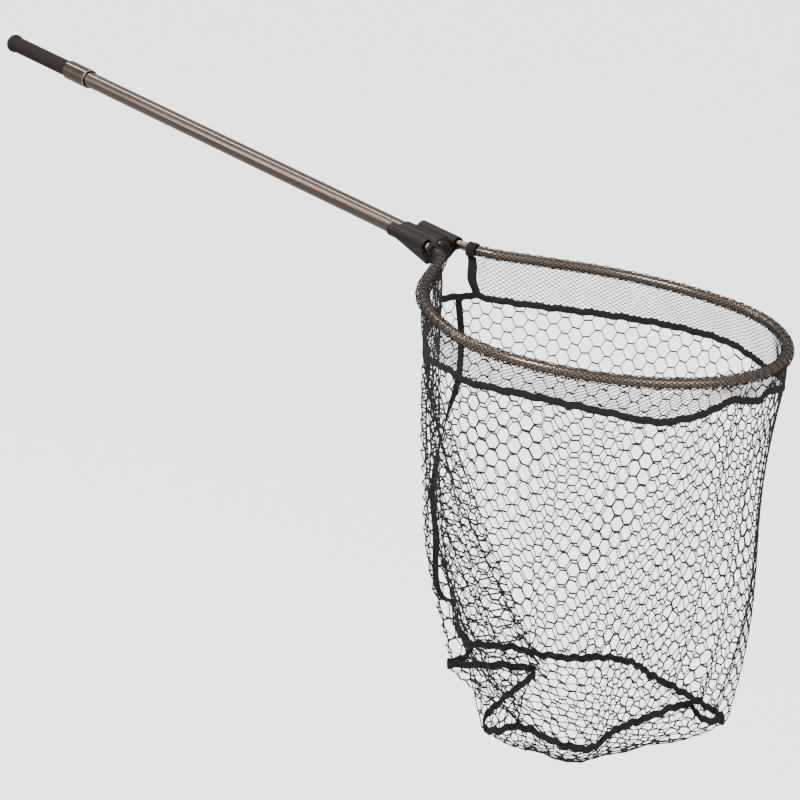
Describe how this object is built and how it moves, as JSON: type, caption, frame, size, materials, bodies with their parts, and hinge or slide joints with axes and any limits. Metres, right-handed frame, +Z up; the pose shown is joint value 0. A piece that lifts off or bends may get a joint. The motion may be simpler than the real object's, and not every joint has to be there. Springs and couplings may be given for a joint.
{
  "type": "landing net",
  "caption": "Fishing landing net with a round hoop, deep hexagonal-mesh bag, moulded three-barrel yoke and telescopic twist-lock handle with foam grip.",
  "frame": {"origin": "on the handle's axis, in the middle of the hand grip", "axes": "+X along the handle from the grip to the hoop's tip, +Y to the left, +Z up, square to the hoop, with the bag hanging to -Z"},
  "size_m": [1.8278, 0.5168, 0.5607],
  "materials": {
    "butt_rubber": "matt moulded",
    "grip_foam": "fine closed-cell foam",
    "inner_tube_metal": "satin anodised bronze",
    "inner_plastic": "matt moulded",
    "collar_metal": "polished anodised bronze with bare bevelled edges",
    "seal_rubber": "matt",
    "tube_metal": "gloss anodised bronze",
    "yoke_plastic": "satin moulded",
    "pin_steel": "plain",
    "hoop_metal": "gloss anodised bronze",
    "fine_netting": "knitted fine mesh",
    "netting": "knotless hexagonal mesh",
    "tape": "woven binding tape"
  },
  "bodies": {
    "handle_grip": {"butt_cap": "butt_rubber", "grip_foam": "grip_foam", "inner_tube": "inner_tube_metal", "guide_bush": "inner_plastic"},
    "net_head": {"collet": "inner_plastic", "outer_tube": "tube_metal", "tube_plug": "yoke_plastic", "yoke": "yoke_plastic", "yoke_pins": "pin_steel", "hoop_tube": "hoop_metal", "hoop_sleeve": "fine_netting", "end_tape_left": "tape", "end_tape_right": "tape", "net_band": "fine_netting", "band_tape": "tape", "net_wall": "netting", "seam_tape": "tape", "base_tape": "tape", "net_base": "netting"},
    "lock_collar": {"collar_shell": "collar_metal", "wiper_seal": "seal_rubber", "collar_insert": "inner_plastic"}
  },
  "joints": [
    {"name": "handle_slide", "type": "slide", "parent": "handle_grip", "child": "net_head", "axis": [1, 0, 0], "range_m": [0, 0.62]},
    {"name": "collar_turn", "type": "hinge", "parent": "net_head", "child": "lock_collar", "pos_m": [0.121, 0, 0], "axis": [1, 0, 0], "range_deg": [0, 120]}
  ]
}
